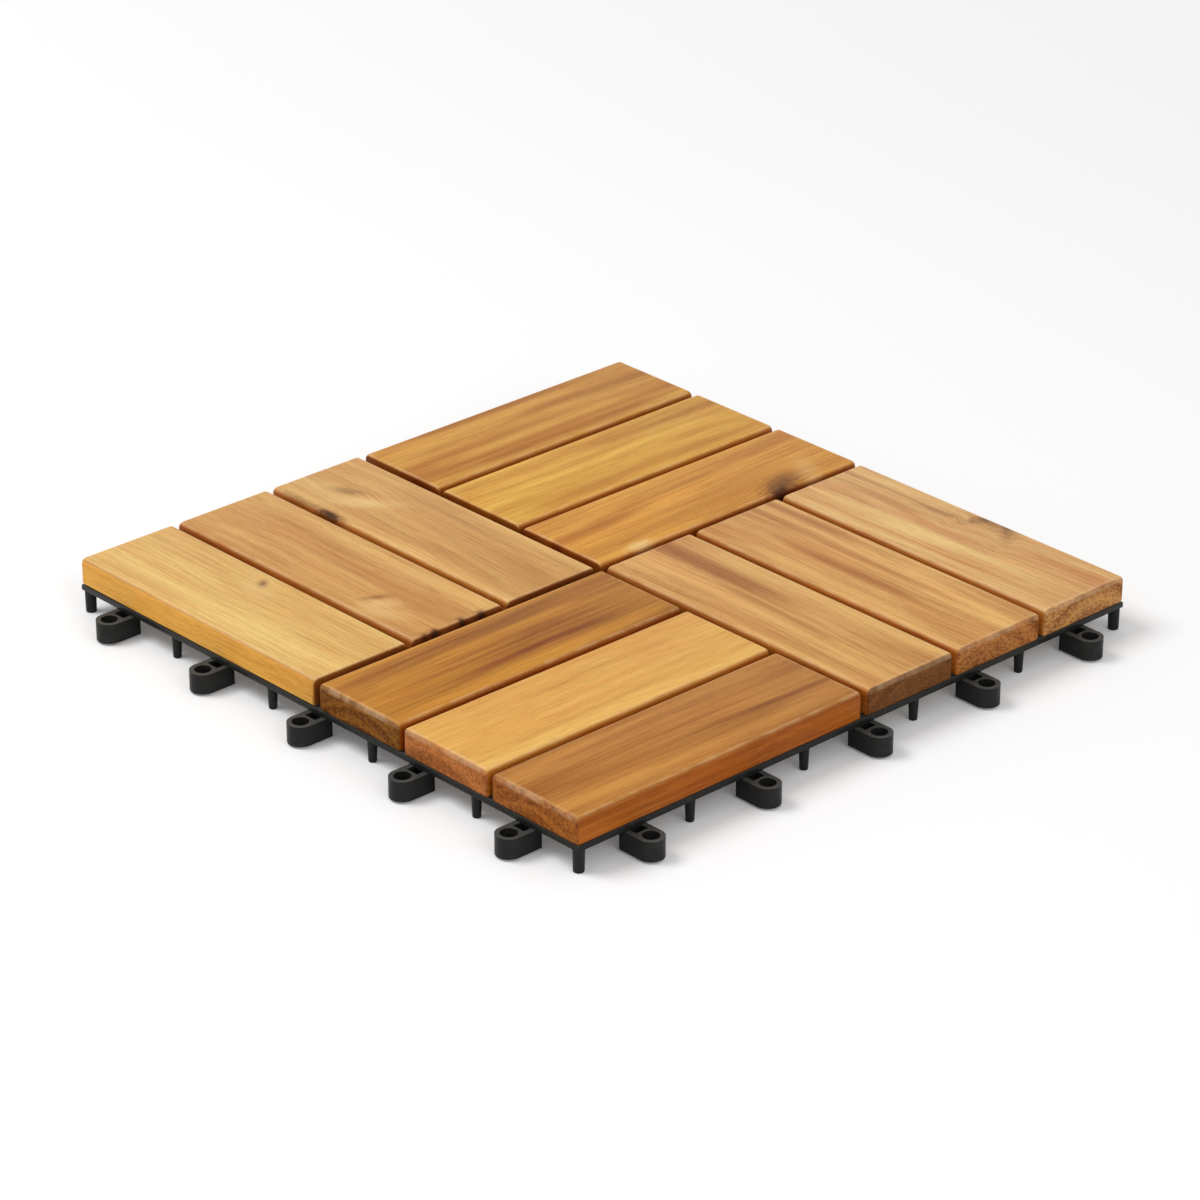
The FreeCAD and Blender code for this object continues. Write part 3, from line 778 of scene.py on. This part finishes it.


# Each slat: the seed of its grain, its darkest and lightest tone, rings per millimetre and the shades of
# its sawn end and open side. Streaks give place across, half-width, start, end and depth. Marks, which
# are knots, chips and flames, give place along, place across, half-length, half-width, slant and depth.
# A depth below zero is paler than the wood round it.
# The shades of the open sides hold the side's tone together with painted shade.
SLAT_LOOKS = {
    "back_right_inner": dict(
        seed=1.3, dark=colour(192, 131, 69), light=colour(241, 191, 115), growth=0.14,
        # its sawn end is darkened with painted shade
        end_shade=colour(150, 130, 120),
        streaks=((17.0, 5.0, -75, 70, -0.7), (5.0, 5.5, -130, 15, 0.6), (-3.0, 2.0, -45, 45, 0.4))),
    "back_right_middle": dict(
        seed=2.9, dark=colour(196, 134, 73), light=colour(248, 198, 120), growth=0.13,
        end_shade=colour(235, 225, 220),
        streaks=((16.5, 2.8, -130, -10, 0.4), (7.5, 3.4, -130, 70, 0.5), (-4.0, 3.0, -40, 45, 0.35),
                 (-17.5, 4.0, -80, 80, -0.7))),
    "back_right_outer": dict(
        seed=4.1, dark=colour(211, 148, 93), light=colour(255, 220, 146), growth=0.12,
        side_shade=OPEN_SIDE,
        streaks=((13.0, 1.8, -100, 0, 0.4), (5.0, 2.4, -90, -10, 0.3), (-20.0, 3.0, -100, 100, -0.5)),
        marks=((-0.7, 20.0, 6.5, 2.3, 63, 0.5), (14.0, 20.0, 7.5, 2.4, -50, 0.45),
               (6.0, 22.0, 10.0, 4.0, 0, 0.45), (-18.0, 13.0, 9.0, 1.6, 8, 0.35))),
    "back_left_inner": dict(
        seed=5.2, dark=colour(188, 122, 49), light=colour(246, 183, 82), growth=0.13,
        streaks=((4.0, 4.2, -130, -10, 0.65), (18.0, 5.0, -70, 75, -0.5), (9.0, 2.0, -60, 40, 0.25)),
        marks=((36.0, -18.0, 9.0, 5.0, 14, 0.7), (29.5, -23.0, 4.4, 2.6, 8, 0.9),
               (53.0, -15.0, 9.0, 3.4, 60, -0.3), (-50.0, -21.0, 4.5, 1.8, 0, -0.9))),
    "back_left_middle": dict(
        seed=6.6, dark=colour(207, 146, 58), light=colour(250, 201, 94), growth=0.11,
        streaks=((12.0, 3.5, -10, 130, 0.45), (-17.0, 4.5, -75, 75, 0.4), (2.0, 3.5, -75, 75, -0.6))),
    "back_left_outer": dict(
        seed=7.7, dark=colour(186, 120, 51), light=colour(231, 176, 85), growth=0.15,
        side_shade=OPEN_SIDE,
        streaks=((8.0, 3.6, -20, 130, 0.5), (20.5, 3.0, -80, 80, 0.45), (14.0, 3.0, -75, 75, -0.5),
                 (-7.0, 4.2, -80, 80, -0.8), (-18.5, 3.4, -80, 80, 0.5))),
    "front_left_inner": dict(
        seed=8.4, dark=colour(204, 149, 87), light=colour(242, 196, 122), growth=0.12,
        streaks=((-12.0, 2.4, -60, 40, 0.25), (12.0, 2.0, -70, 5, 0.25)),
        marks=((35.0, 4.5, 11.0, 2.7, 39, -0.5), (44.0, 10.0, 10.0, 3.4, 24, -0.35),
               (50.0, 3.0, 6.5, 2.6, 25, 0.45), (64.0, 10.0, 9.0, 3.6, 14, -0.35),
               # the mark at 37 along and 22.8 across is a chip, drawn dark: painted shade in the notch
               (37.0, 22.8, 6.0, 1.7, 0, 1.0), (56.0, 22.6, 12.0, 1.5, 0, 0.5))),
    "front_left_middle": dict(
        seed=9.8, dark=colour(207, 150, 85), light=colour(241, 192, 116), growth=0.13,
        streaks=((-9.5, 2.6, -35, 80, 0.25), (-3.5, 1.8, -70, 40, 0.25), (4.0, 3.0, -60, 60, -0.4),
                 (16.0, 1.8, 0, 75, 0.25)),
        marks=((-41.0, 11.5, 5.5, 2.5, 48, -0.5), (-35.5, 9.0, 5.0, 1.5, 62, 0.45),
               # the four marks at -75 along are chips at the shut end, drawn dark: painted shade in the
               # notches
               (-48.0, 16.0, 7.5, 2.9, 24, -0.45), (-75.0, -12.5, 2.0, 2.0, 0, 1.0),
               (-75.0, -2.5, 2.4, 1.6, 0, 1.0), (-75.0, 12.0, 2.2, 2.2, 0, 1.0),
               (-75.0, 17.0, 1.8, 1.6, 0, 0.9))),
    "front_left_outer": dict(
        seed=10.9, dark=colour(224, 172, 97), light=colour(249, 211, 129), growth=0.10,
        side_shade=colour(255, 226, 168),
        streaks=((18.0, 5.0, 0, 80, 0.2), (3.0, 4.0, -60, 20, -0.35)),
        marks=((5.2, -15.5, 2.4, 1.5, -40, 0.8), (3.0, -10.5, 6.0, 4.0, 0, -0.35))),
    "front_right_inner": dict(
        seed=11.5, dark=colour(138, 73, 12), light=colour(220, 155, 57), growth=0.16,
        end_shade=colour(205, 222, 240),
        streaks=((9.5, 2.6, -60, 45, 0.75), (1.5, 1.8, -75, 75, 0.4), (-12.5, 2.4, -80, 60, 0.4),
                 (-22.0, 2.0, -80, 80, -0.8), (18.0, 4.0, -80, 80, -0.5))),
    "front_right_middle": dict(
        seed=12.7, dark=colour(233, 174, 86), light=colour(251, 202, 110), growth=0.1,
        end_shade=colour(242, 216, 245),
        streaks=((4.3, 2.2, -80, 60, -0.5), (-11.0, 3.0, -70, 40, 0.14), (14.0, 2.0, -50, 70, 0.14))),
    "front_right_outer": dict(
        seed=13.6, dark=colour(162, 98, 31), light=colour(217, 155, 73), growth=0.15,
        side_shade=colour(240, 198, 150),
        streaks=((5.5, 2.0, -110, -12, 0.55), (-14.0, 3.0, -75, 75, 0.25), (12.5, 1.8, -40, 75, 0.2),
                 (-3.0, 1.8, -80, 20, 0.2))),
}


def dress(piece, finish, slot, *nodes):
    """Give a piece its finish, its smooth shading and its place in the frame."""
    piece.data.materials.clear()
    piece.data.materials.append(finish)
    take(piece)
    bpy.ops.object.shade_smooth_by_angle(angle=SMOOTH_ANGLE)
    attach(piece, "root")
    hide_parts(*nodes)


dress(moulded_base(), black_plastic(), "black_plastic", "base_grid")
dress(screws(), zinc(), "screw_steel", "slat_screws")
first_board = board()
for turn, group in enumerate(GROUPS):
    for row, line in zip(ROWS, ROW_LINES):
        key = f"{group}_{row}"
        piece = copied(first_board, f"board_{key}", 0, line - ROW_LINES[0], turn)
        wood = oiled_wood(f"oiled_wood_{key}", turn, line, **SLAT_LOOKS[key])
        dress(piece, wood, "oiled_wood", f"slat_{key}")
bpy.data.objects.remove(first_board)


# Floor, light and camera

FLOOR_SIZE = 8.0
# each lamp: place, width and power; all of them point at the tile's middle
LAMPS = {"key": ((-0.9, -1.0, 1.9), 1.3, 24.0), "fill": ((1.9, -0.4, 1.2), 1.6, 9.0)}
SKY_LIGHT, SKY_SEEN = 0.5, 1.0

# the camera's angles in degrees, its distance and aim in metres, its sensor in millimetres
AZIMUTH, ELEVATION, FIELD_OF_VIEW = 47.2, 26.2, 14.4
DISTANCE = 1.93
AIM = Vector((3.0 * MM, -3.0 * MM, 11.0 * MM))
SENSOR_WIDTH = 36.0


def floor():
    begin("plane", "floor", size=FLOOR_SIZE)
    close()
    ground = bpy.context.object
    finish = Finish("pale_floor")
    seen = finish.node("LightPath", {}, {}, out="Is Camera Ray")
    # the lamps fall off with distance, so where it is seen the floor is kept white to its far edge
    away = finish.length(finish.place())
    glow = finish.mix(finish.step(away, 0.5, 3.0), grey(0.1), grey(0.5))
    ground.data.materials.append(finish.surface(
        Base_Color=finish.mix(seen, grey(0.8), grey(1)), Roughness=0.9, Specular_IOR_Level=0.0,
        Emission_Color=finish.mix(seen, grey(0), glow), Emission_Strength=1.0))


def soft_light(name, place, size, power):
    lamp = bpy.data.lights.new(name, "AREA")
    lamp.shape = "DISK"
    lamp.size = size
    lamp.energy = power
    holder = bpy.data.objects.new(name, lamp)
    holder.location = place
    holder.rotation_euler = (-Vector(place)).to_track_quat("-Z", "Y").to_euler()
    bpy.context.collection.objects.link(holder)


def surroundings():
    """Plain pale air: soft light from all round, white where it is seen or mirrored."""
    world = bpy.data.worlds.new("studio")
    bpy.context.scene.world = world
    world.use_nodes = True
    tree = world.node_tree
    sky = tree.nodes["Background"]
    sky.inputs["Color"].default_value = grey(1)
    ray = tree.nodes.new("ShaderNodeLightPath")
    seen = tree.nodes.new("ShaderNodeMath")
    seen.operation = "MAXIMUM"
    tree.links.new(ray.outputs["Is Camera Ray"], seen.inputs[0])
    tree.links.new(ray.outputs["Is Glossy Ray"], seen.inputs[1])
    level = tree.nodes.new("ShaderNodeMapRange")
    level.inputs["To Min"].default_value = SKY_LIGHT
    level.inputs["To Max"].default_value = SKY_SEEN
    tree.links.new(seen.outputs[0], level.inputs["Value"])
    tree.links.new(level.outputs[0], sky.inputs["Strength"])


def camera():
    """The photograph's direction and distance, with a longer lens that fills the frame."""
    azimuth, elevation = math.radians(AZIMUTH), math.radians(ELEVATION)
    back = Vector((math.sin(azimuth) * math.cos(elevation), -math.cos(azimuth) * math.cos(elevation),
                   math.sin(elevation)))
    lens = bpy.data.cameras.new("camera")
    lens.sensor_width = SENSOR_WIDTH
    lens.lens = SENSOR_WIDTH / 2 / math.tan(math.radians(FIELD_OF_VIEW) / 2)
    lens.clip_start, lens.clip_end = 0.05, 50.0
    holder = bpy.data.objects.new("camera", lens)
    holder.location = AIM + back * DISTANCE
    holder.rotation_euler = (-back).to_track_quat("-Z", "Y").to_euler()
    bpy.context.collection.objects.link(holder)
    bpy.context.scene.camera = holder


floor()
for name, (place, size, power) in LAMPS.items():
    soft_light(name, place, size, power)
surroundings()
camera()
bpy.context.scene.view_settings.view_transform = "Standard"
